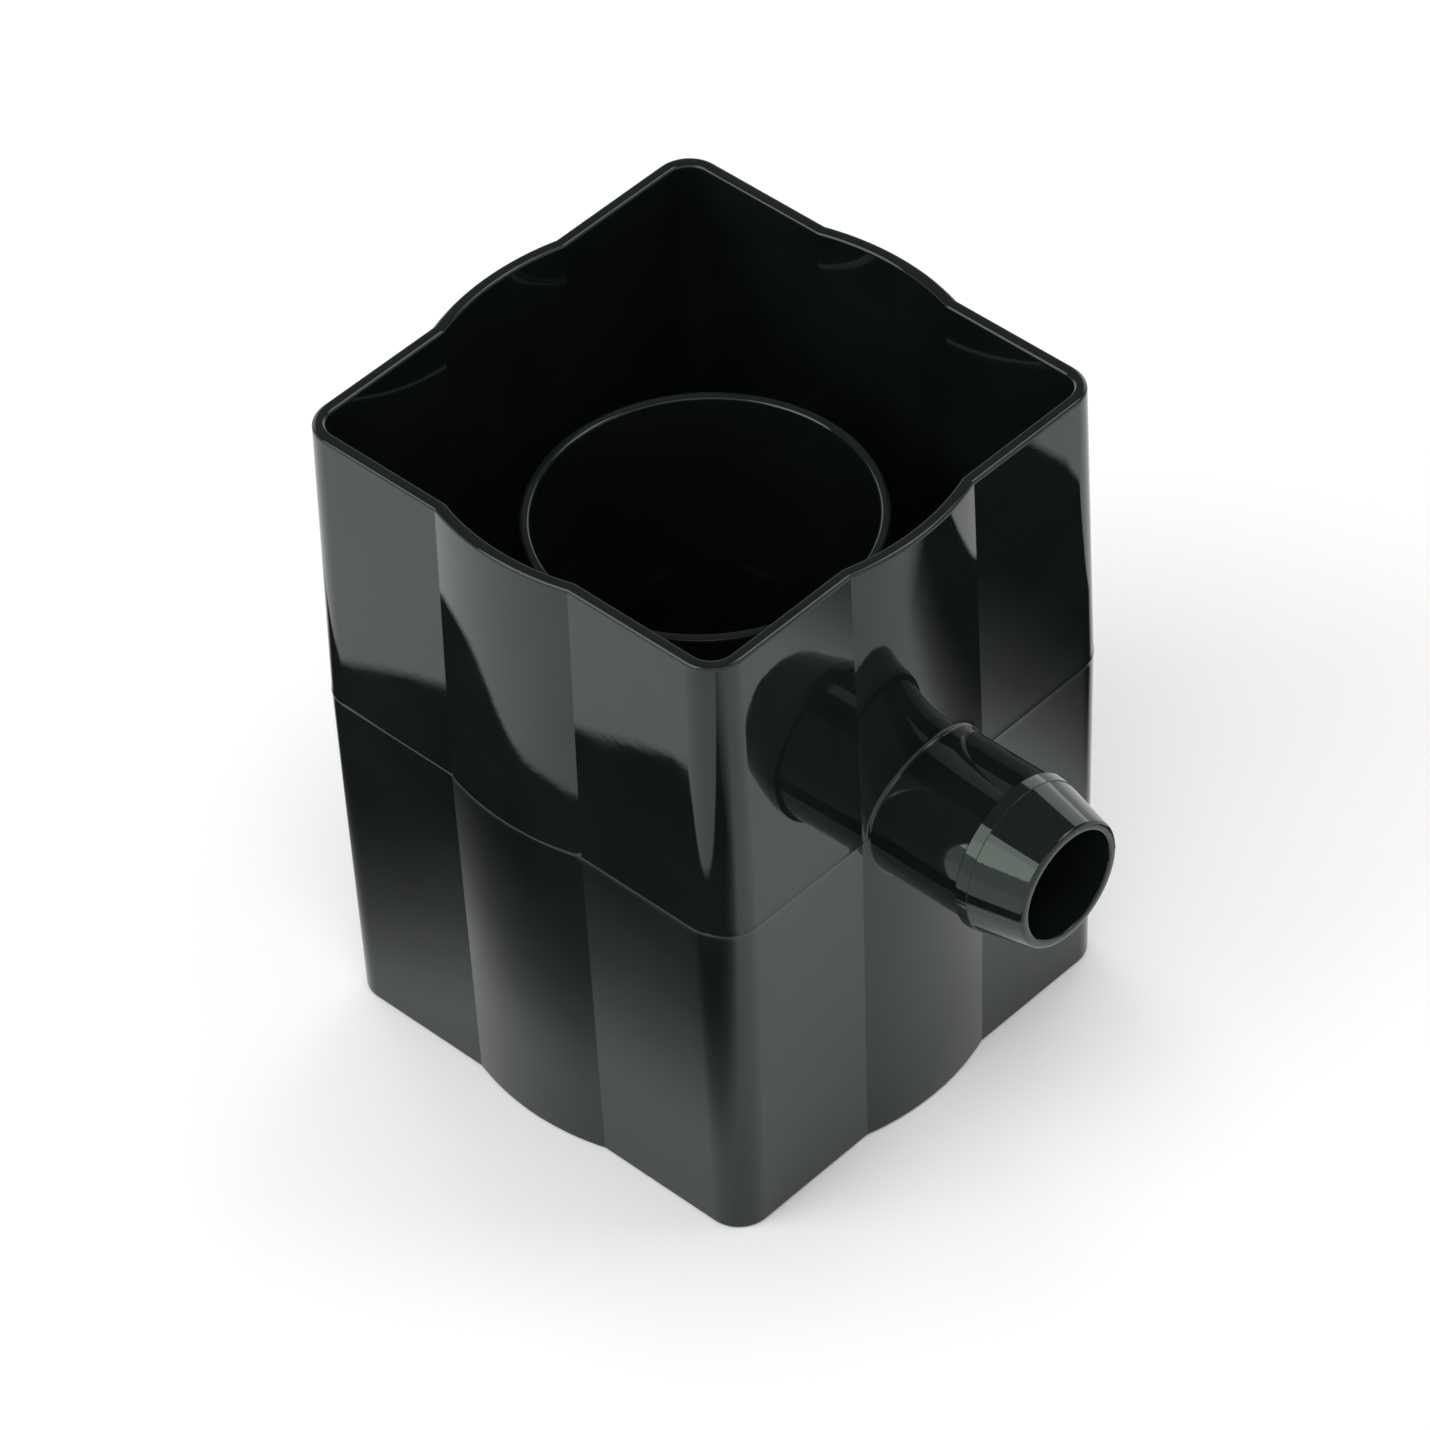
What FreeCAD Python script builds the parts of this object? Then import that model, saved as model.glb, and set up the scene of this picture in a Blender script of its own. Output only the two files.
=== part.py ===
"""Rainwater diverter: a box moulded in one piece that is set into a downpipe.

Water from the pipe above runs down the walls into a gutter round a weir tube, and leaves by the hose
spigot. When the gutter is full the water spills over the weir and drops through the tube into the pipe
below. Both ends are sockets for a square or a round pipe, so the section is a square with a round bulge
on each side. The walls are drafted both ways from a parting line at the height of the spigot's axis.

Millimetres. Z is the pipe's axis, the origin is the middle of the lower socket's mouth, and the spigot
points to -Y.
"""
import FreeCAD, Part
import math
import os
import Sketcher

NODE = "diverter_body"

SIZES = {
    # Sockets, which take a 65 mm square or a 68 mm round pipe with a little room to spare
    "socket_width": 66.0,
    "socket_diameter": 69.4,
    "socket_corner_radius": 3.0,
    "upper_socket_depth": 17.5,
    # Outer walls, above and below the parting line
    "upper_height": 44.0,
    "lower_height": 53.0,
    "upper_rim_wall": 1.75,
    "draft_angle": 1.0,
    "rim_chamfer": 0.5,
    # Gutter and weir tube
    "weir_diameter": 46.0,
    "weir_wall": 1.5,
    "weir_below_socket": 0.5,
    "weir_chamfer": 0.4,
    "outlet_sill": 1.0,
    "floor_thickness": 2.2,
    "drip_length": 10.0,
    "drip_above_socket": 0.5,
    # Hose spigot, from its root on the bulge to its mouth
    "spigot_bore": 15.0,
    "neck_wall": 2.75,
    "neck_length": 12.9,
    "root_rounding": 0.6,
    "barb_height": 0.45,
    "barb_land": 1.8,
    "barb_lip": 0.2,
    "barb_taper_length": 7.4,
    "mouth_wall": 1.2,
    "mouth_chamfer": 0.4,
}

# Sizes that follow from the driving ones, as expressions of the sheet
DRAFT = "-sizes.draft_angle"
STRAIGHT = "0"
PARTING_WALL = "(sizes.upper_rim_wall + sizes.upper_height * tan(sizes.draft_angle))"
BODY_WIDTH = f"sizes.socket_width + 2 * {PARTING_WALL}"
BULGE_DIAMETER = f"sizes.socket_diameter + 2 * {PARTING_WALL}"
CORNER_RADIUS = f"sizes.socket_corner_radius + {PARTING_WALL}"
RIM_LEVEL = "(sizes.lower_height + sizes.upper_height)"
UPPER_SOCKET_LEVEL = f"({RIM_LEVEL} - sizes.upper_socket_depth)"
WEIR_LEVEL = f"({UPPER_SOCKET_LEVEL} - sizes.weir_below_socket)"
FLOOR_LEVEL = "(sizes.lower_height - sizes.spigot_bore / 2 - sizes.outlet_sill)"
CEILING_LEVEL = f"({FLOOR_LEVEL} - sizes.floor_thickness)"
DRIP_LEVEL = f"({CEILING_LEVEL} - sizes.drip_length)"
LOWER_SOCKET_LEVEL = f"({DRIP_LEVEL} - sizes.drip_above_socket)"
NECK_RADIUS = "(sizes.spigot_bore / 2 + sizes.neck_wall)"
MOUTH_RADIUS = "(sizes.spigot_bore / 2 + sizes.mouth_wall)"
BARB_START = f"(({BULGE_DIAMETER}) / 2 + sizes.neck_length)"
MOUTH_REACH = f"({BARB_START} + sizes.barb_land + sizes.barb_taper_length)"
GUTTER_MIDDLE = "(sizes.socket_width + sizes.weir_diameter) / 4"

PAD = "PartDesign::Pad"
POCKET = "PartDesign::Pocket"
FILLET = "PartDesign::Fillet"
CHAMFER = "PartDesign::Chamfer"
# The seam of a round wall lies towards a corner of the box, where the square section takes it up
SEAM_TURN = 45
# How near an edge lies to the place where it is looked for, and at how many points that is tested
NEAR = 0.01
EDGE_POINTS = 5
UP = FreeCAD.Vector(0, 0, 1)

doc = FreeCAD.newDocument("rainwater_diverter")


def make_sheet():
    """The spreadsheet that holds every driving size."""
    sheet = doc.addObject("Spreadsheet::Sheet", "sizes")
    for row, (name, value) in enumerate(SIZES.items(), start=1):
        sheet.set(f"A{row}", name)
        sheet.set(f"B{row}", str(value))
        sheet.setAlias(f"B{row}", name)
    doc.recompute()


def new_sketch(body, name, role, turn=0, **offsets):
    """A sketch on one of the body's origin planes, turned on it and moved off it by expressions."""
    sketch = body.newObject("Sketcher::SketchObject", name)
    plane = next(item for item in body.Origin.OriginFeatures if item.Role == role)
    sketch.AttachmentSupport = [(plane, "")]
    sketch.MapMode = "FlatFace"
    sketch.AttachmentOffset = FreeCAD.Placement(FreeCAD.Vector(), FreeCAD.Rotation(UP, turn))
    for axis, expression in offsets.items():
        sketch.setExpression(f"AttachmentOffset.Base.{axis}", expression)
    return sketch


def bind(sketch, name, expression, *definition):
    """A named dimension that follows the sheet. The sketch's first numbers only rough out its form."""
    index = sketch.addConstraint(Sketcher.Constraint(*definition))
    sketch.renameConstraint(index, name)
    sketch.setExpression(f"Constraints.{name}", expression)


def draw_circle(sketch, diameter):
    """A circle about the sketch's origin."""
    start = 20
    sketch.addGeometry(Part.Circle(FreeCAD.Vector(), UP, start / 2))
    sketch.addConstraint(Sketcher.Constraint("Coincident", 0, 3, -1, 1))
    bind(sketch, "diameter", diameter, "Diameter", 0, start)


def draw_square(sketch, width, corner_radius):
    """A square with rounded corners about the sketch's origin: lines 0, 2, 4, 6 and arcs 1, 3, 5, 7."""
    half, corner = 30, 5
    flat = half - corner
    for quarter in range(4):
        turn = FreeCAD.Rotation(UP, 90 * quarter)
        side_start = turn.multVec(FreeCAD.Vector(half, -flat, 0))
        side_end = turn.multVec(FreeCAD.Vector(half, flat, 0))
        centre = turn.multVec(FreeCAD.Vector(flat, flat, 0))
        angle = math.radians(90 * quarter)
        sketch.addGeometry(Part.LineSegment(side_start, side_end))
        sketch.addGeometry(Part.ArcOfCircle(Part.Circle(centre, UP, corner), angle, angle + math.pi / 2))
    for line in (0, 2, 4, 6):
        arc, next_line = line + 1, (line + 2) % 8
        sketch.addConstraint(Sketcher.Constraint("Tangent", line, 2, arc, 1))
        sketch.addConstraint(Sketcher.Constraint("Tangent", arc, 2, next_line, 1))
        sketch.addConstraint(Sketcher.Constraint("Vertical" if line % 4 == 0 else "Horizontal", line))
    for arc in (3, 5, 7):
        sketch.addConstraint(Sketcher.Constraint("Equal", 1, arc))
    sketch.addConstraint(Sketcher.Constraint("Equal", 0, 2))
    sketch.addConstraint(Sketcher.Constraint("Symmetric", 1, 3, 5, 3, -1, 1))
    bind(sketch, "width", width, "Distance", 0, 1, 4, 2 * half)
    bind(sketch, "corner_radius", corner_radius, "Radius", 1, corner)


def draw_spigot(sketch):
    """Half of the solid spigot's lengthwise section: X runs along its axis and Y out from it."""
    outline = [(0, 0), (0, 10), (-50, 10), (-50, 12), (-52, 12), (-52, 11), (-59, 9), (-59, 0)]
    corners = [FreeCAD.Vector(along, out, 0) for along, out in outline]
    count = len(corners)
    inner_end, neck, step, land, lip, taper, mouth, axis = range(count)
    for index in range(count):
        sketch.addGeometry(Part.LineSegment(corners[index], corners[(index + 1) % count]))
    for index in range(count):
        sketch.addConstraint(Sketcher.Constraint("Coincident", index, 2, (index + 1) % count, 1))
    sketch.addConstraint(Sketcher.Constraint("Coincident", inner_end, 1, -1, 1))
    for line in (neck, land, axis):
        sketch.addConstraint(Sketcher.Constraint("Horizontal", line))
    for line in (inner_end, step, lip, mouth):
        sketch.addConstraint(Sketcher.Constraint("Vertical", line))
    bind(sketch, "neck_radius", NECK_RADIUS, "DistanceY", inner_end, 1, inner_end, 2, 10)
    bind(sketch, "barb_start", BARB_START, "DistanceX", neck, 2, neck, 1, 50)
    bind(sketch, "barb_height", "sizes.barb_height", "DistanceY", step, 1, step, 2, 2)
    bind(sketch, "barb_land", "sizes.barb_land", "DistanceX", land, 2, land, 1, 2)
    bind(sketch, "barb_lip", "sizes.barb_lip", "DistanceY", lip, 2, lip, 1, 1)
    bind(sketch, "taper_length", "sizes.barb_taper_length", "DistanceX", taper, 2, taper, 1, 7)
    bind(sketch, "mouth_radius", MOUTH_RADIUS, "DistanceY", mouth, 2, mouth, 1, 9)


def two_way(body, kind, name, sketch, up, down):
    """A pad or pocket that runs up and down from its sketch, each way with a length and a draft."""
    feature = body.newObject(kind, name)
    feature.Profile = sketch
    feature.SideType = "Two sides"
    sides = (up, down) if kind == PAD else (down, up)
    for suffix, (length, draft) in zip(("", "2"), sides):
        feature.setExpression("Length" + suffix, length)
        feature.setExpression("TaperAngle" + suffix, draft)
    doc.recompute()


def one_way(body, kind, name, sketch, length, reverse=False):
    """A straight pad or pocket."""
    before = volume_of(body)
    feature = body.newObject(kind, name)
    feature.Profile = sketch
    feature.setExpression("Length", length)
    feature.Reversed = reverse
    doc.recompute()
    check_change(body, kind, name, before)


def volume_of(body):
    """The body's volume so far, nought before its first feature."""
    return 0 if body.Shape.isNull() else body.Shape.Volume


def check_change(body, kind, name, before):
    """Stops the build if a pad added nothing to the body or a pocket cut nothing from it."""
    change = volume_of(body) - before
    if (change if kind == PAD else -change) <= 0:
        raise RuntimeError(f"{name} changed the volume by {change:.3f}")


def bulged_square(body, kind, name, level, width, corner_radius, diameter, up, down):
    """The section that fits both pipes, as a square and a round feature that run into each other."""
    before = volume_of(body)
    square = new_sketch(body, f"{name}_square_section", "XY_Plane", z=level)
    draw_square(square, width, corner_radius)
    two_way(body, kind, f"{name}_square", square, up, down)
    bulge = new_sketch(body, f"{name}_round_section", "XY_Plane", SEAM_TURN, z=level)
    draw_circle(bulge, diameter)
    two_way(body, kind, f"{name}_round", bulge, up, down)
    check_change(body, kind, name, before)


def make_outer_form(body):
    """The box, drafted both ways from the parting line, and the solid spigot on it."""
    up, down = ("sizes.upper_height", DRAFT), ("sizes.lower_height", DRAFT)
    bulged_square(body, PAD, "box", "sizes.lower_height",
                  BODY_WIDTH, CORNER_RADIUS, BULGE_DIAMETER, up, down)
    section = new_sketch(body, "spigot_section", "YZ_Plane", y="sizes.lower_height")
    draw_spigot(section)
    spigot = body.newObject("PartDesign::Revolution", "spigot")
    spigot.Profile = section
    spigot.ReferenceAxis = (section, ["H_Axis"])
    spigot.Angle = 360
    doc.recompute()


def hollow_out(body):
    """The two sockets, straight where a pipe sits in them and drafted beyond, with a floor between."""
    section = ("sizes.socket_width", "sizes.socket_corner_radius", "sizes.socket_diameter")
    up, down = ("sizes.upper_socket_depth", STRAIGHT), (f"{UPPER_SOCKET_LEVEL} - {FLOOR_LEVEL}", DRAFT)
    bulged_square(body, POCKET, "upper_socket", UPPER_SOCKET_LEVEL, *section, up, down)
    up, down = (f"{CEILING_LEVEL} - {LOWER_SOCKET_LEVEL}", DRAFT), (LOWER_SOCKET_LEVEL, STRAIGHT)
    bulged_square(body, POCKET, "lower_socket", LOWER_SOCKET_LEVEL, *section, up, down)


def make_weir(body):
    """The tube that stands up from the floor as a weir and hangs below it as a drip edge."""
    length = f"{WEIR_LEVEL} - {DRIP_LEVEL}"
    outside = new_sketch(body, "weir_section", "XY_Plane", SEAM_TURN, z=DRIP_LEVEL)
    draw_circle(outside, "sizes.weir_diameter")
    one_way(body, PAD, "weir", outside, length)
    inside = new_sketch(body, "weir_bore_section", "XY_Plane", SEAM_TURN, z=DRIP_LEVEL)
    draw_circle(inside, "sizes.weir_diameter - 2 * sizes.weir_wall")
    one_way(body, POCKET, "weir_bore", inside, length, reverse=True)


def bore_spigot(body):
    """The spigot's bore, from its mouth through the wall and into the gutter."""
    section = new_sketch(body, "spigot_bore_section", "XZ_Plane", y="sizes.lower_height", z=MOUTH_REACH)
    draw_circle(section, "sizes.spigot_bore")
    one_way(body, POCKET, "spigot_bore", section, f"{MOUTH_REACH} - {GUTTER_MIDDLE}")


def soften_edges(body, kind, name, size, wanted):
    """A fillet or chamfer on each edge of the body so far whose points pass the test."""
    base = body.Tip
    edges = enumerate(base.Shape.Edges, start=1)
    names = [f"Edge{index}" for index, edge in edges if wanted(edge.discretize(EDGE_POINTS))]
    feature = body.newObject(kind, name)
    feature.Base = (base, names)
    feature.setExpression("Radius" if kind == FILLET else "Size", size)
    doc.recompute()


def round_spigot_root(body):
    """The fillet between the spigot's neck and the wall, made before the inside is cut away."""
    section = doc.getObject("spigot_section")
    height = section.Placement.Base.z
    neck = section.getDatum("neck_radius").Value
    barb = -section.getDatum("barb_start").Value

    def on_root(point):
        on_neck = abs(math.hypot(point.x, point.z - height) - neck) < NEAR
        return on_neck and barb + NEAR < point.y < 0

    soften_edges(body, FILLET, "spigot_root", "sizes.root_rounding",
                 lambda points: all(on_root(point) for point in points))


def break_edges(body):
    """Small chamfers on the edges of both rims, of the weir and of the spigot's mouth."""
    box, weir = doc.getObject("box_square"), doc.getObject("weir")
    parting, drip = box.Profile[0].Placement.Base.z, weir.Profile[0].Placement.Base.z
    rim_size = "min(sizes.rim_chamfer; sizes.upper_rim_wall / 3)"
    weir_size = "min(sizes.weir_chamfer; sizes.weir_wall / 3)"
    mouth_size = "min(sizes.mouth_chamfer; sizes.mouth_wall / 3)"
    level_rims = [
        ("upper_rim", parting + box.Length.Value, rim_size),
        ("lower_rim", parting - box.Length2.Value, rim_size),
        ("weir_rim", drip + weir.Length.Value, weir_size),
    ]
    for name, level, size in level_rims:
        soften_edges(body, CHAMFER, name, size,
                     lambda points: all(abs(point.z - level) < NEAR for point in points))
    mouth = doc.getObject("spigot_bore_section").Placement.Base.y
    soften_edges(body, CHAMFER, "mouth_rim", mouth_size,
                 lambda points: all(abs(point.y - mouth) < NEAR for point in points))


def check_document(body):
    """Stops the build if a feature failed, a sketch is loose or the body isn't one sound solid."""
    for item in doc.Objects:
        if "Invalid" in item.State or "Error" in item.State:
            raise RuntimeError(f"{item.Name} failed: {item.State}")
        if item.TypeId == "Sketcher::SketchObject" and not item.FullyConstrained:
            raise RuntimeError(f"{item.Name} is not fully constrained")
    shape = body.Shape
    if shape.isNull() or not shape.isValid() or len(shape.Solids) != 1:
        raise RuntimeError(f"{body.Label} is not one sound solid")


def main():
    make_sheet()
    body = doc.addObject("PartDesign::Body", NODE)
    body.Label = NODE
    make_outer_form(body)
    round_spigot_root(body)
    hollow_out(body)
    make_weir(body)
    bore_spigot(body)
    break_edges(body)
    check_document(body)
    os.makedirs("parts", exist_ok=True)
    body.Shape.exportStep(f"parts/{body.Label}.step")
    print(f"{body.Label}: {body.Shape.Volume:.1f} mm3, {body.Shape.optimalBoundingBox()}")


main()
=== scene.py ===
"""Looks of the rainwater diverter: one gloss black moulding on a white studio floor.

The moulding and the flags are laid out in millimetres, the rest in metres. The origin is the
middle of the lower socket's mouth.
"""
import math

import bmesh
import bpy
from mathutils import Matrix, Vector


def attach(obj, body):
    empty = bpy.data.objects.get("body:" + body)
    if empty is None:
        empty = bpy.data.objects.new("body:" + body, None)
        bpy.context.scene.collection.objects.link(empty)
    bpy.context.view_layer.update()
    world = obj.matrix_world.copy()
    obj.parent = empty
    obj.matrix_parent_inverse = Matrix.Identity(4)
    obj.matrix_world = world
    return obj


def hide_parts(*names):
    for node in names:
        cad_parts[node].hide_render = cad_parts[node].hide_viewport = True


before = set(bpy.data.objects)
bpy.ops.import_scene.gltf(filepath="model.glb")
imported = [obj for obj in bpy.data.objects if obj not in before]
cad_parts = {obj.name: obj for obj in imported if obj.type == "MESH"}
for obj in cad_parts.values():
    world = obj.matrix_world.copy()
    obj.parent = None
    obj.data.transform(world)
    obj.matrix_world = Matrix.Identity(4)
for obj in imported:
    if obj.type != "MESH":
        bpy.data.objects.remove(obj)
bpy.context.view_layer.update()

# A millimetre in metres, the slack of a comparison, and the steps of each rounding.
MM = 0.001
TINY = 1e-6
ARC_STEPS = 5

# The bulged square section of the sockets. Every other ring of the box is a step outside or
# inside it.
SOCKET_HALF = 33.0
SOCKET_RADIUS = 34.7
SOCKET_CORNER = 3.0
FLAT_STEPS = 8
BULGE_STEPS = 24
CORNER_STEPS = 12
SIDE_STEPS = 2 * FLAT_STEPS + BULGE_STEPS + CORNER_STEPS
BULGE_START = FLAT_STEPS
BULGE_END = FLAT_STEPS + BULGE_STEPS

# Heights of the box, and the wall's thickness outside the sockets.
RIM = 97.0
PARTING = 53.0
UPPER_SOCKET_END = 79.5
LOWER_SOCKET_END = 31.8
GUTTER_FLOOR = 44.5
CEILING = 42.3
DRAFT = math.tan(math.radians(1))
UPPER_RIM_WALL = 1.75
LOWER_RIM_WALL = 1.593
PARTING_WALL = 2.5
RIM_ROUNDING = 0.55
INNER_ROUNDING = 0.4

# The mould's parting line: a fine ridge whose top is the widest place of the box. It goes on over
# the spigot, but not into its bore, which is narrower than the least radius.
RIDGE_HEIGHT = 0.06
RIDGE_TOP = 0.08
RIDGE_FOOT = 0.2
RIDGE_LEAST_RADIUS = 8.0

# The weir tube, which goes on below the floor as a drip edge. The floor's flat part lies between
# its foot and an edge along the walls, with rings at these shares of the way.
WEIR_RADIUS = 23.0
WEIR_BORE = 21.5
WEIR_TOP = 79.0
DRIP_END = 32.3
WEIR_ROUNDING = 0.55
DRIP_ROUNDING = 0.3
WEIR_FOOT = 24.4
FLOOR_EDGE = -1.6
FLOOR_SHARES = (0.25, 0.5, 0.75)

# The hose spigot on the front, with its axis on the parting line. Its places are distances from
# the weir's axis.
NECK_RADIUS = 10.25
ROOT_ROUNDING = 0.6
BARB_START = 50.118
BARB_FOOT_ROUNDING = 0.1
LAND_RADIUS = 10.8
LAND_ROUNDING = 0.15
LAND_END = 51.918
LAND_END_RADIUS = 10.6
LAND_END_ROUNDING = 0.05
LIP_RADIUS = 10.5
LIP_FOOT_ROUNDING = 0.03
MOUTH = 59.318
MOUTH_RADIUS = 8.7
MOUTH_ROUNDING = 0.6
BORE_RADIUS = 7.5
BORE_ROUNDING = 0.3
BORE_STRAIGHT = 10.0

# The windows in the front bulge, outside and in the gutter, in which the spigot's rings join the
# box's, with rings at these shares of the way in.
WINDOW_HALF = 15.0
WINDOW_ROWS = 11
WINDOW_TILT = math.radians(45)
WINDOW_SHARES = (0.3, 0.55, 0.75, 0.9)
GUTTER_WINDOW_TOP = 62.0

# The plastic. Each noise has its scale, per metre, and its detail; depths are in metres.
GLOSS_IOR = 1.5
GLOSS_TINT = (0.75, 0.91, 0.8, 1)
TONE_NOISE = (60, 4)
TONE_STOPS = ((0.3, (0.0036, 0.0052, 0.0048, 1)), (0.7, (0.0064, 0.0086, 0.0080, 1)))
DULL_NOISE = (140, 6)
DULL_SPAN = (0.3, 0.75)
ROUGHNESS = (0.02, 0.06)
WAVE_NOISE = (45, 1)
WAVE_DEPTH = 0.00006
RIPPLE_NOISE = (900, 2)
RIPPLE_DEPTH = 0.000002

# The floor: half its width, its paint, and the distances between which it turns plain white.
FLOOR_HALF = 3.0
PAINT_NOISE = (8, 2)
PAINT_STOPS = ((0, (0.92, 0.92, 0.92, 1)), (1, (0.94, 0.94, 0.94, 1)))
WHITE = (1, 1, 1, 1)
WHITE_SPAN = (0.3, 0.9)

# A flag's black, which paints dark reflections in the gloss, its height above the floor, and its
# cover at each share of the way across it.
PAINTED_REFLECTION_BLACK = (0.008, 0.009, 0.009, 1)
FLAG_LEVEL = 0.5
FLAG_COVERS = (
    (0, 0), (0.08, 0.2), (0.17, 0.5), (0.27, 0.75), (0.37, 0.88), (0.47, 0.96), (0.57, 1),
    (0.97, 1), (1, 0),
)
FULL_COVER = ((0, 1), (1, 1))

# The left flag: the reach of its two edges, its rungs, their angles in degrees, the rungs over
# which it fades in and those between which its far edge draws in. A run gives the rungs along y,
# each with the weight that lets the ends fade.
LEFT_NEAR = 44
LEFT_FAR_BACK = 116
LEFT_FAR = 103
LEFT_RUNGS = 45
LEFT_START = 92
LEFT_TURN = 2
LEFT_FADE = 8
LEFT_DRAW_START = 17
LEFT_DRAW_END = 35
LEFT_RUN = ((-100, 1), (-140, 0))
RIGHT_NEAR = 50
RIGHT_FAR = 105
RIGHT_RUN = ((-30, 0), (-46, 1), (-112, 1), (-126, 0))

# The studio: the side on which its white wall stands higher, and the heights between which the
# wall gives way to a grey ceiling.
TO_FRONT = (-0.707, -0.707, 0)
STUDIO_STOPS = ((0.24, WHITE), (0.3, (0.2, 0.2, 0.2, 1)))

# Softboxes aimed at the origin: name, place, size, power, and whether the gloss mirrors it.
LAMPS = (
    ("top_softbox", (0.28, 0.28, 1.10), 0.5, 2.0, False),
    ("right_back_softbox", (1.00, 0.20, 0.50), 0.62, 2.0, True),
    ("left_back_softbox", (0.20, 1.00, 0.50), 0.62, 2.0, True),
    ("left_softbox", (-0.79, 0.28, 0.72), 0.78, 5.6, True),
    ("right_softbox", (0.50, -0.40, 0.90), 0.5, 2.4, True),
    ("fill_softbox", (-0.40, -0.40, 1.00), 0.6, 2.6, False),
)

CAMERA_PLACE = (-0.48045, -0.47937, 0.69131)
CAMERA_TARGET = (-0.004, -0.004, 0.050)
CAMERA_ANGLE = math.radians(11)
CAMERA_ROLL = math.radians(-2.85)


def rounded(corners):
    """A profile's points: a corner (a, b, radius) becomes an arc, or stays sharp at radius 0."""
    points = [corners[0][:2]]
    for before, (a, b, radius), after in zip(corners, corners[1:], corners[2:]):
        if not radius:
            points.append((a, b))
            continue
        corner = Vector((a, b))
        back = (Vector(before[:2]) - corner).normalized()
        ahead = (Vector(after[:2]) - corner).normalized()
        half = back.angle(ahead) / 2
        centre = corner + (back + ahead).normalized() * radius / math.sin(half)
        start = corner + back * radius / math.tan(half) - centre
        end = corner + ahead * radius / math.tan(half) - centre
        first = math.atan2(start.y, start.x)
        turn = math.atan2(start.x * end.y - start.y * end.x, start.dot(end))
        for step in range(ARC_STEPS + 1):
            angle = first + turn * step / ARC_STEPS
            a, b = centre.x + radius * math.cos(angle), centre.y + radius * math.sin(angle)
            points.append((a, b))
    points.append(corners[-1][:2])
    return points


def section(offset):
    """The bulged square, a step outside the socket: each side, then the corner after it."""
    half, radius, corner = SOCKET_HALF + offset, SOCKET_RADIUS + offset, SOCKET_CORNER + offset
    crease = math.sqrt(radius ** 2 - half ** 2)
    spread = math.asin(crease / radius)
    flat_end = half - corner
    side = []
    for step in range(FLAT_STEPS):
        side.append((-flat_end + (flat_end - crease) * step / FLAT_STEPS, -half))
    for step in range(BULGE_STEPS):
        angle = spread * (2 * step / BULGE_STEPS - 1)
        side.append((radius * math.sin(angle), -radius * math.cos(angle)))
    for step in range(FLAT_STEPS):
        side.append((crease + (flat_end - crease) * step / FLAT_STEPS, -half))
    for step in range(CORNER_STEPS):
        angle = math.pi / 2 * step / CORNER_STEPS
        side.append((flat_end + corner * math.sin(angle), -flat_end - corner * math.cos(angle)))
    points = []
    for _ in range(4):
        points += side
        side = [(-y, x) for x, y in side]
    return points


def box_ring(offset, height):
    return [Vector((x, y, height)) for x, y in section(offset)]


RAYS = [math.atan2(y, x) for x, y in section(0)]


def round_ring(radius, height):
    return [Vector((radius * math.cos(ray), radius * math.sin(ray), height)) for ray in RAYS]


def between(first, last, shares):
    """Rings part of the way from one ring to another."""
    return [[a.lerp(b, share) for a, b in zip(first, last)] for share in shares]


def outer_offset(height):
    """The outside wall without its ridge, drafted both ways from the parting line."""
    foot = PARTING_WALL - RIDGE_HEIGHT
    if height > PARTING:
        return foot - (foot - UPPER_RIM_WALL) * (height - PARTING) / (RIM - PARTING)
    return foot - (foot - LOWER_RIM_WALL) * (PARTING - height) / PARTING


def gutter_offset(height):
    return -(UPPER_SOCKET_END - height) * DRAFT


def window_tilts():
    """How far round the spigot from its level side each row of a window lies, bottom row first."""
    near = [math.asin(offset / NECK_RADIUS) for offset in (RIDGE_TOP, RIDGE_FOOT)]
    upper = near + [WINDOW_TILT * step / WINDOW_ROWS for step in range(1, WINDOW_ROWS + 1)]
    return [-tilt for tilt in reversed(upper)] + upper


def row_offset(tilt):
    """The height of a window's row above the parting line."""
    ridge = NECK_RADIUS * math.sin(tilt)
    return ridge if abs(ridge) <= RIDGE_FOOT + TINY else WINDOW_HALF * math.tan(tilt)


def ridge_at(offset):
    """The ridge's height at this distance from the parting line."""
    return RIDGE_HEIGHT if abs(offset) < RIDGE_TOP + TINY else 0


TILTS = window_tilts()
# Places round the spigot, from the window's upper left corner over the top, and the ridge that
# each carries.
TOP_TURNS = [WINDOW_TILT * (2 * step / BULGE_STEPS - 1) for step in range(BULGE_STEPS)]
TURNS = TOP_TURNS + [math.pi / 2 - tilt for tilt in reversed(TILTS)][:-1]
TURNS += [turn + math.pi for turn in TURNS]
RIDGES = [ridge_at(NECK_RADIUS * math.cos(turn)) for turn in TURNS]


def spigot_ring(distance, radius):
    ring = []
    for turn, ridge in zip(TURNS, RIDGES):
        reach = radius + ridge if radius > RIDGE_LEAST_RADIUS else radius
        ring.append(Vector((reach * math.sin(turn), -distance, PARTING + reach * math.cos(turn))))
    return ring


def on_bulge(x, height, offset_at):
    """The point of the front bulge at this place."""
    radius = SOCKET_RADIUS + offset_at(height)
    return Vector((x, -math.sqrt(radius ** 2 - x ** 2), height))


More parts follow.
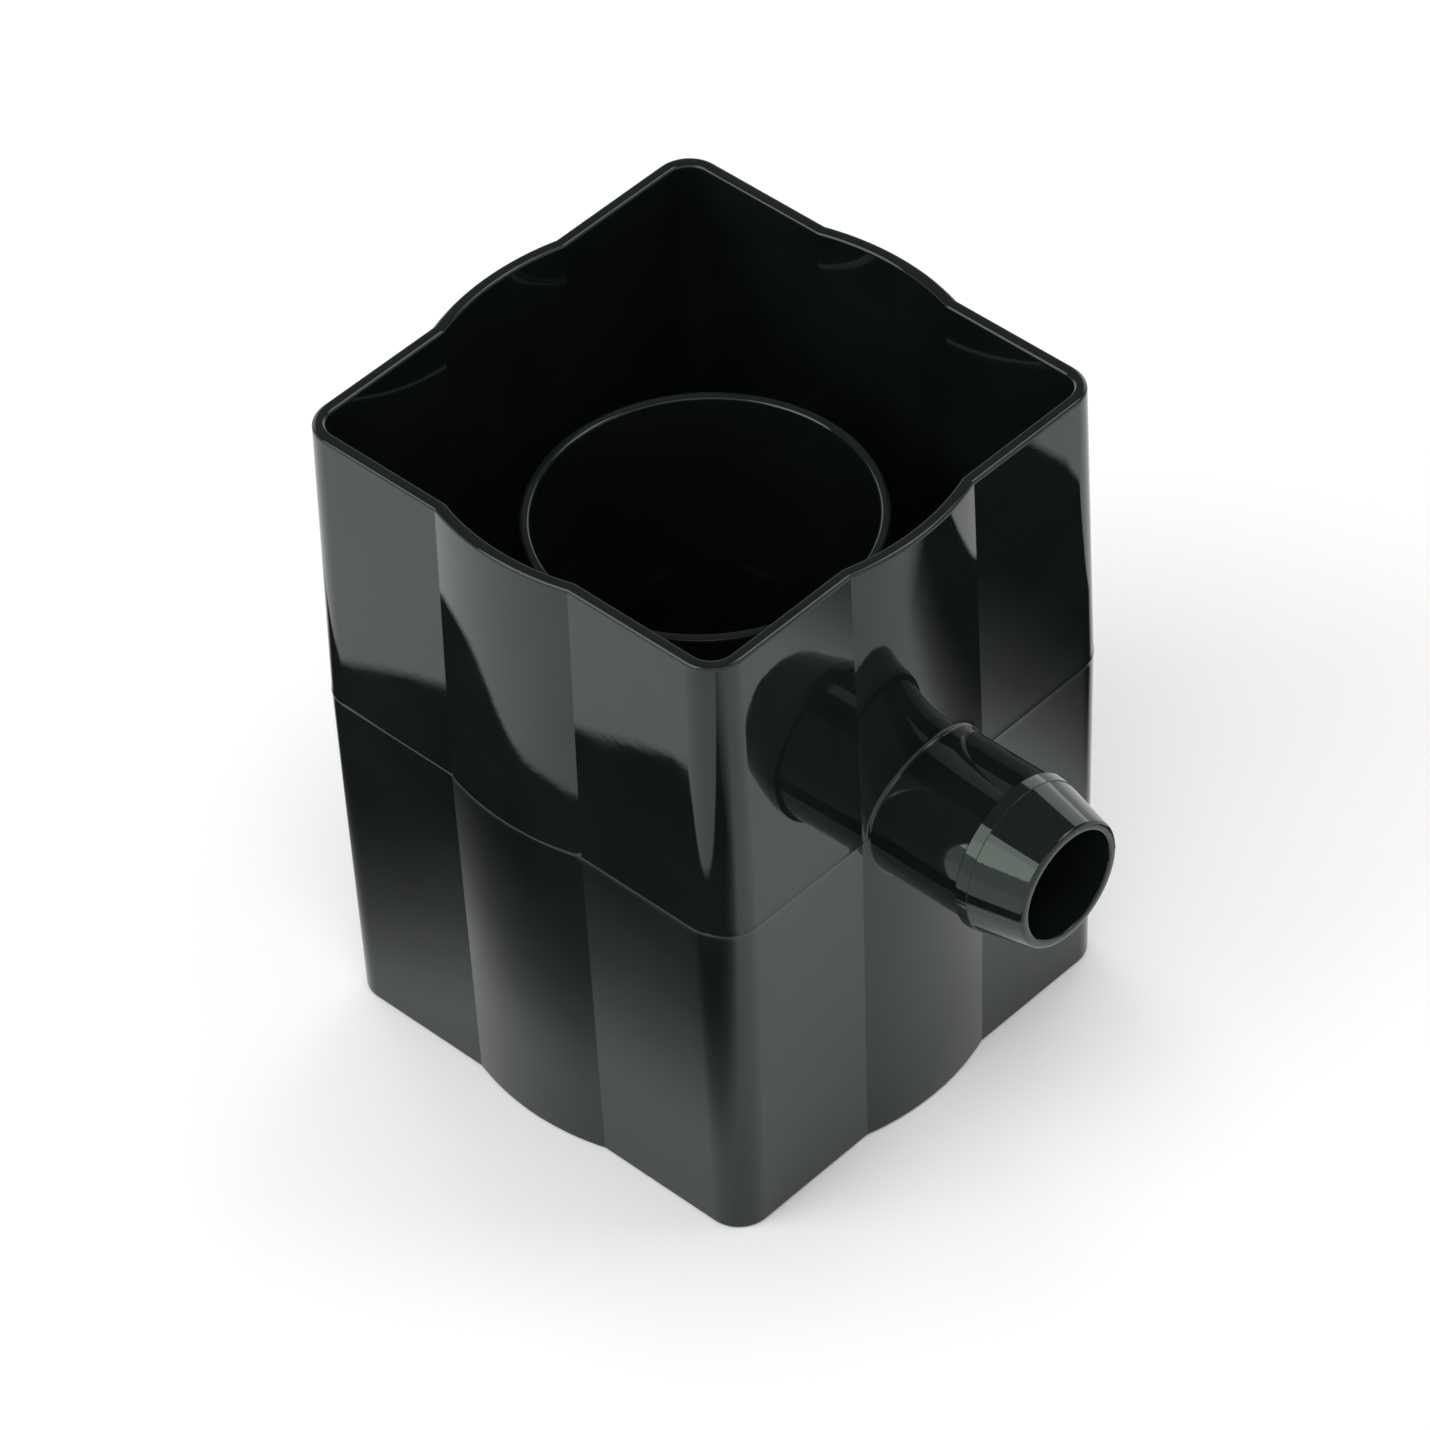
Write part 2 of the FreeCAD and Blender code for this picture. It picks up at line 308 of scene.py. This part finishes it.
def root_rings():
    """The hollow rounding between bulge and neck, as a ball rolled round the neck leaves it."""
    rings = [[] for _ in range(ARC_STEPS + 1)]
    reach = NECK_RADIUS + ROOT_ROUNDING
    for turn, ridge in zip(TURNS, RIDGES):
        x, height = reach * math.sin(turn), PARTING + reach * math.cos(turn)
        out = SOCKET_RADIUS + outer_offset(height) + ROOT_ROUNDING
        centre = Vector((x, -math.sqrt(out ** 2 - x ** 2), height))
        to_wall = -Vector((centre.x, centre.y, 0)).normalized()
        to_neck = -Vector((math.sin(turn), 0, math.cos(turn)))
        for step, ring in enumerate(rings):
            toward = to_wall.slerp(to_neck, step / ARC_STEPS)
            ring.append(centre + toward * (ROOT_ROUNDING - ridge))
    return rings


def lower_profile():
    """From the ceiling down the lower socket, round its rim and up the outside to the window."""
    return rounded([
        (FLOOR_EDGE, CEILING, 0),
        (-(CEILING - LOWER_SOCKET_END) * DRAFT, CEILING, INNER_ROUNDING),
        (0, LOWER_SOCKET_END, 0),
        (0, 0, RIM_ROUNDING),
        (LOWER_RIM_WALL, 0, RIM_ROUNDING),
        (outer_offset(PARTING - WINDOW_HALF), PARTING - WINDOW_HALF, 0),
    ])[:-1]


def outside_profile():
    """Up the outside beside the window, over the parting line's ridge."""
    places = []
    for offset in map(row_offset, TILTS):
        height = PARTING + offset
        places.append((outer_offset(height) + ridge_at(offset), height))
    return places


def upper_profile(start):
    """From the window over the upper rim and down the upper socket to the gutter's window."""
    return rounded([
        (*start, 0),
        (UPPER_RIM_WALL, RIM, RIM_ROUNDING),
        (0, RIM, RIM_ROUNDING),
        (0, UPPER_SOCKET_END, 0),
        (gutter_offset(GUTTER_WINDOW_TOP), GUTTER_WINDOW_TOP, 0),
    ])[1:-1]


def gutter_profiles():
    """Down the gutter's wall beside its window, and from there on to the gutter's floor."""
    foot = rounded([
        (gutter_offset(GUTTER_WINDOW_TOP), GUTTER_WINDOW_TOP, 0),
        (gutter_offset(GUTTER_FLOOR), GUTTER_FLOOR, INNER_ROUNDING),
        (FLOOR_EDGE, GUTTER_FLOOR, 0),
    ])[1:]
    drops = len(TILTS) - 1
    drop = (GUTTER_WINDOW_TOP - foot[0][1]) / drops
    heights = [GUTTER_WINDOW_TOP - drop * step for step in range(drops)]
    wall = [(gutter_offset(height), height) for height in heights] + [foot[0]]
    return wall, foot[1:]


def weir_profile():
    """From the gutter's floor over the weir, down its bore and round its end to the ceiling."""
    return rounded([
        (WEIR_FOOT, GUTTER_FLOOR, 0),
        (WEIR_RADIUS, GUTTER_FLOOR, INNER_ROUNDING),
        (WEIR_RADIUS, WEIR_TOP, WEIR_ROUNDING),
        (WEIR_BORE, WEIR_TOP, WEIR_ROUNDING),
        (WEIR_BORE, DRIP_END, DRIP_ROUNDING),
        (WEIR_RADIUS, DRIP_END, DRIP_ROUNDING),
        (WEIR_RADIUS, CEILING, INNER_ROUNDING),
        (WEIR_FOOT, CEILING, 0),
    ])


def spigot_profile(neck_start):
    """Along the neck, over the barb to the mouth and some way into the bore."""
    return rounded([
        (neck_start, NECK_RADIUS, 0),
        (BARB_START, NECK_RADIUS, BARB_FOOT_ROUNDING),
        (BARB_START, LAND_RADIUS, LAND_ROUNDING),
        (LAND_END, LAND_END_RADIUS, LAND_END_ROUNDING),
        (LAND_END, LIP_RADIUS, LIP_FOOT_ROUNDING),
        (MOUTH, MOUTH_RADIUS, MOUTH_ROUNDING),
        (MOUTH, BORE_RADIUS, BORE_ROUNDING),
        (MOUTH - BORE_STRAIGHT, BORE_RADIUS, 0),
    ])[1:]


def window(rows):
    """The edge of a window in the front bulge, in the order of the spigot's rings."""
    bottom, top = rows[0], rows[-1]
    edge = top[BULGE_START:BULGE_END] + [row[BULGE_END] for row in reversed(rows)][:-1]
    return edge + bottom[BULGE_END:BULGE_START:-1] + [row[BULGE_START] for row in rows][:-1]


def narrowing(edge, hole, offset_at):
    """Rings on the bulge from a window's edge in to the hole in it."""
    rings = []
    for share in WINDOW_SHARES:
        places = [(vert.co / MM).lerp(point, share) for vert, point in zip(edge, hole)]
        rings.append([on_bulge(place.x, place.z, offset_at) for place in places])
    return rings


def add_object(name, data):
    thing = bpy.data.objects.new(name, data)
    bpy.context.scene.collection.objects.link(thing)
    return thing


class Skin:
    """A mesh that is laid ring by ring."""

    def __init__(self):
        self.mesh = bmesh.new()

    def lay(self, ring):
        return [self.mesh.verts.new(point * MM) for point in ring]

    def join(self, first, last, skipped=()):
        for index in range(len(first)):
            if index not in skipped:
                after = (index + 1) % len(first)
                self.mesh.faces.new((first[index], first[after], last[after], last[index]))

    def crease(self, first, last, indices):
        for index in indices:
            edge = self.mesh.edges.get((first[index], last[index]))
            if edge:
                edge.smooth = False

    def piece(self, name):
        for face in self.mesh.faces:
            face.smooth = True
        bmesh.ops.recalc_face_normals(self.mesh, faces=self.mesh.faces)
        data = bpy.data.meshes.new(name)
        self.mesh.to_mesh(data)
        self.mesh.free()
        return add_object(name, data)


def make_body():
    """The moulding as one closed skin: the box with its weir, then the spigot in the windows."""
    skin = Skin()
    lower = lower_profile()
    outside = outside_profile()
    upper = upper_profile(outside[-1])
    gutter, floor = gutter_profiles()
    walls = [box_ring(*place) for place in lower + outside + upper + gutter + floor]
    tube = [round_ring(*place) for place in weir_profile()]
    rings = walls + between(walls[-1], tube[0], FLOOR_SHARES)
    rings += tube + between(tube[-1], walls[0], FLOOR_SHARES)
    laid = [skin.lay(ring) for ring in rings]
    outside_first = len(lower)
    outside_last = outside_first + len(outside) - 1
    gutter_first = outside_last + len(upper) + 1
    gutter_last = gutter_first + len(gutter) - 1
    windowed = {*range(outside_first, outside_last), *range(gutter_first, gutter_last)}
    for index, ring in enumerate(laid):
        skipped = range(BULGE_START, BULGE_END) if index in windowed else ()
        skin.join(ring, laid[(index + 1) % len(laid)], skipped)

    front = window(laid[outside_first:outside_last + 1])
    back = window(laid[gutter_first:gutter_last + 1][::-1])
    root = root_rings()
    bore = spigot_ring(0, BORE_RADIUS)
    hole = [on_bulge(place.x, place.z, gutter_offset) for place in bore]
    spigot = narrowing(front, root[0], outer_offset) + root
    spigot += [spigot_ring(*place) for place in spigot_profile(-root[-1][0].y)]
    spigot += [hole] + narrowing(back, hole, gutter_offset)[::-1]
    loops = [front] + [skin.lay(ring) for ring in spigot] + [back]
    for first, last in zip(loops, loops[1:]):
        skin.join(first, last)

    ends = (BULGE_START, BULGE_END)
    creases = [side * SIDE_STEPS + end for side in range(4) for end in ends]
    for first, last in zip(laid[:len(walls)], laid[1:len(walls)]):
        skin.crease(first, last, creases)
    piece = skin.piece("moulding")
    shading = piece.modifiers.new("even_shading", "WEIGHTED_NORMAL")
    shading.keep_sharp = True
    return piece


class Nodes:
    """A short way to build a material's or the world's node tree."""

    def __init__(self, owner):
        owner.use_nodes = True
        self.tree = owner.node_tree
        self.tree.nodes.clear()

    def add(self, kind, inputs=None, **settings):
        """A new node with its settings. An input gets another node's output or a plain value."""
        node = self.tree.nodes.new(kind)
        for name, value in settings.items():
            setattr(node, name, value)
        for key, value in (inputs or {}).items():
            if isinstance(value, bpy.types.NodeSocket):
                self.tree.links.new(value, node.inputs[key])
            else:
                node.inputs[key].default_value = value
        return node

    def noise(self, place, scale, detail):
        inputs = {"Vector": place, "Scale": scale, "Detail": detail}
        return self.add("ShaderNodeTexNoise", inputs).outputs["Fac"]

    def ramp(self, share, stops):
        node = self.add("ShaderNodeValToRGB", {"Fac": share})
        for element, (position, colour) in zip(node.color_ramp.elements, stops):
            element.position = position
            element.color = colour
        return node.outputs["Color"]

    def mix(self, share, first, second):
        inputs = {"Fac": share, 1: first, 2: second}
        return self.add("ShaderNodeMixShader", inputs).outputs["Shader"]


def gloss_plastic():
    """Green-black gloss with some duller patches, and slow waves and a fine ripple in the skin."""
    material = bpy.data.materials.new("gloss_black_plastic")
    nodes = Nodes(material)
    place = nodes.add("ShaderNodeTexCoord").outputs["Object"]
    tone = nodes.ramp(nodes.noise(place, *TONE_NOISE), TONE_STOPS)
    dulling = nodes.add("ShaderNodeMapRange", {
        "Value": nodes.noise(place, *DULL_NOISE),
        "From Min": DULL_SPAN[0], "From Max": DULL_SPAN[1],
        "To Min": ROUGHNESS[0], "To Max": ROUGHNESS[1],
    })
    waves = nodes.add("ShaderNodeBump", {
        "Height": nodes.noise(place, *WAVE_NOISE), "Strength": 1, "Distance": WAVE_DEPTH,
    })
    ripple = nodes.add("ShaderNodeBump", {
        "Height": nodes.noise(place, *RIPPLE_NOISE), "Strength": 1, "Distance": RIPPLE_DEPTH,
        "Normal": waves.outputs["Normal"],
    })
    shader = nodes.add("ShaderNodeBsdfPrincipled", {
        "Base Color": tone, "Roughness": dulling.outputs["Result"],
        "Normal": ripple.outputs["Normal"], "IOR": GLOSS_IOR, "Specular Tint": GLOSS_TINT,
    })
    nodes.add("ShaderNodeOutputMaterial", {"Surface": shader.outputs["BSDF"]})
    return material


def white_floor():
    """Matt white paint with a faint mottle.

    Far out, where the lamps don't reach, it is seen as plain white.
    """
    material = bpy.data.materials.new("white_floor")
    nodes = Nodes(material)
    place = nodes.add("ShaderNodeTexCoord").outputs["Object"]
    tone = nodes.ramp(nodes.noise(place, *PAINT_NOISE), PAINT_STOPS)
    paint = nodes.add("ShaderNodeBsdfDiffuse", {"Color": tone})
    distance = nodes.add("ShaderNodeVectorMath", {0: place}, operation="LENGTH")
    share = nodes.add("ShaderNodeMapRange", {
        "Value": distance.outputs["Value"], "From Min": WHITE_SPAN[0], "From Max": WHITE_SPAN[1],
    }, interpolation_type="SMOOTHSTEP")
    path = nodes.add("ShaderNodeLightPath")
    seen = path.outputs["Is Camera Ray"]
    for ray in ("Is Glossy Ray", "Is Transmission Ray"):
        either = nodes.add("ShaderNodeMath", {0: seen, 1: path.outputs[ray]}, operation="MAXIMUM")
        seen = either.outputs["Value"]
    shares = {0: share.outputs["Result"], 1: seen}
    far_out = nodes.add("ShaderNodeMath", shares, operation="MULTIPLY")
    white = nodes.add("ShaderNodeEmission", {"Color": WHITE})
    both = nodes.mix(far_out.outputs["Value"], paint.outputs["BSDF"], white.outputs["Emission"])
    nodes.add("ShaderNodeOutputMaterial", {"Surface": both})
    return material


def make_floor():
    corners = [(-FLOOR_HALF, -FLOOR_HALF, 0), (FLOOR_HALF, -FLOOR_HALF, 0)]
    corners += [(-x, -y, z) for x, y, z in corners]
    data = bpy.data.meshes.new("floor")
    data.from_pydata(corners, [], [(0, 1, 2, 3)])
    data.materials.append(white_floor())
    add_object("floor", data)


def painted_dark_reflection():
    """Painted dark reflection: black, as dense as the flag's own cover says."""
    material = bpy.data.materials.new("painted_dark_reflection")
    nodes = Nodes(material)
    cover = nodes.add("ShaderNodeAttribute", attribute_name="cover").outputs["Fac"]
    gap = nodes.add("ShaderNodeBsdfTransparent").outputs["BSDF"]
    painted_dark = nodes.add("ShaderNodeBsdfDiffuse", {"Color": PAINTED_REFLECTION_BLACK}).outputs["BSDF"]
    nodes.add("ShaderNodeOutputMaterial", {"Surface": nodes.mix(cover, gap, painted_dark)})
    return material


def make_flag(name, rungs, cover_steps=FLAG_COVERS):
    """A studio flag on the floor that only the gloss sees; it paints dark reflections there and
    casts no shadow.

    Each rung crosses it from its soft edge to its clean one, with the cover's weight there.
    """
    points, covers, faces = [], [], []
    for near, far, weight in rungs:
        for share, cover in cover_steps:
            place = Vector(near).lerp(Vector(far), share)
            points.append((place.x * MM, place.y * MM, FLAG_LEVEL * MM))
            covers.append(cover * weight)
    across = len(cover_steps)
    for rung in range(len(rungs) - 1):
        for step in range(across - 1):
            first = rung * across + step
            faces.append((first, first + 1, first + across + 1, first + across))
    data = bpy.data.meshes.new(name)
    data.from_pydata(points, [], faces)
    data.attributes.new("cover", "FLOAT", "POINT").data.foreach_set("value", covers)
    data.materials.append(painted_dark_reflection())
    flag = add_object(name, data)
    for ray in ("camera", "diffuse", "transmission", "volume_scatter", "shadow"):
        setattr(flag, f"visible_{ray}", False)


def ease(share):
    """A smooth step from 0 to 1."""
    return 0.5 - 0.5 * math.cos(math.pi * min(1, max(0, share)))


def make_flags():
    """Flags that paint dark reflections: one bends round the left of the box and runs on past its
    front corner, one lies off its right front and one paints shade over the floor inside it. The
    soft near edges of the first two paint shade near the box's foot."""
    left = []
    for step in range(LEFT_RUNGS):
        angle = math.radians(LEFT_START + LEFT_TURN * step)
        drawn = ease((step - LEFT_DRAW_START) / (LEFT_DRAW_END - LEFT_DRAW_START))
        far = LEFT_FAR_BACK + (LEFT_FAR - LEFT_FAR_BACK) * drawn
        ends = [(reach * math.cos(angle), reach * math.sin(angle)) for reach in (LEFT_NEAR, far)]
        left.append((*ends, min(1, step / LEFT_FADE)))
    left += [((-LEFT_NEAR, y), (-LEFT_FAR, y), weight) for y, weight in LEFT_RUN]
    make_flag("left_painted_reflection", left)
    make_flag("right_painted_reflection", [((RIGHT_NEAR, y), (RIGHT_FAR, y), weight) for y, weight in RIGHT_RUN])
    inner = [((x, -SOCKET_HALF), (x, SOCKET_HALF), 1) for x in (-SOCKET_HALF, SOCKET_HALF)]
    make_flag("inner_painted_shade", inner, FULL_COVER)


def make_world():
    """A white studio wall round the floor, higher at the front, under a dim ceiling."""
    world = bpy.data.worlds.new("studio")
    bpy.context.scene.world = world
    nodes = Nodes(world)
    direction = nodes.add("ShaderNodeTexCoord").outputs["Generated"]
    height = nodes.add("ShaderNodeSeparateXYZ", {"Vector": direction}).outputs["Z"]
    inputs = {0: direction, 1: TO_FRONT}
    facing = nodes.add("ShaderNodeVectorMath", inputs, operation="DOT_PRODUCT")
    inputs = {0: facing.outputs["Value"], 1: 0}
    front = nodes.add("ShaderNodeMath", inputs, operation="MAXIMUM")
    inputs = {0: height, 1: front.outputs["Value"]}
    level = nodes.add("ShaderNodeMath", inputs, operation="SUBTRACT")
    tone = nodes.ramp(level.outputs["Value"], STUDIO_STOPS)
    background = nodes.add("ShaderNodeBackground", {"Color": tone})
    nodes.add("ShaderNodeOutputWorld", {"Surface": background.outputs["Background"]})


def aim(thing, target):
    thing.rotation_euler = (Vector(target) - thing.location).to_track_quat("-Z", "Y").to_euler()


def make_lamp(name, place, size, power, mirrored):
    lamp = bpy.data.lights.new(name, "AREA")
    lamp.size = size
    lamp.energy = power
    thing = add_object(name, lamp)
    thing.location = place
    aim(thing, (0, 0, 0))
    thing.visible_glossy = mirrored


def make_camera():
    camera = bpy.data.cameras.new("camera")
    camera.angle = CAMERA_ANGLE
    thing = add_object("camera", camera)
    thing.location = CAMERA_PLACE
    aim(thing, CAMERA_TARGET)
    thing.rotation_euler.rotate_axis("Z", CAMERA_ROLL)
    bpy.context.scene.camera = thing


body = make_body()
body.data.materials.append(gloss_plastic())
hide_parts("diverter_body")
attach(body, "root")

make_floor()
# Painted dark reflections and painted shade, which only the gloss sees.
make_flags()
make_world()
for lamp_row in LAMPS:
    make_lamp(*lamp_row)
make_camera()
bpy.context.scene.view_settings.view_transform = "Standard"
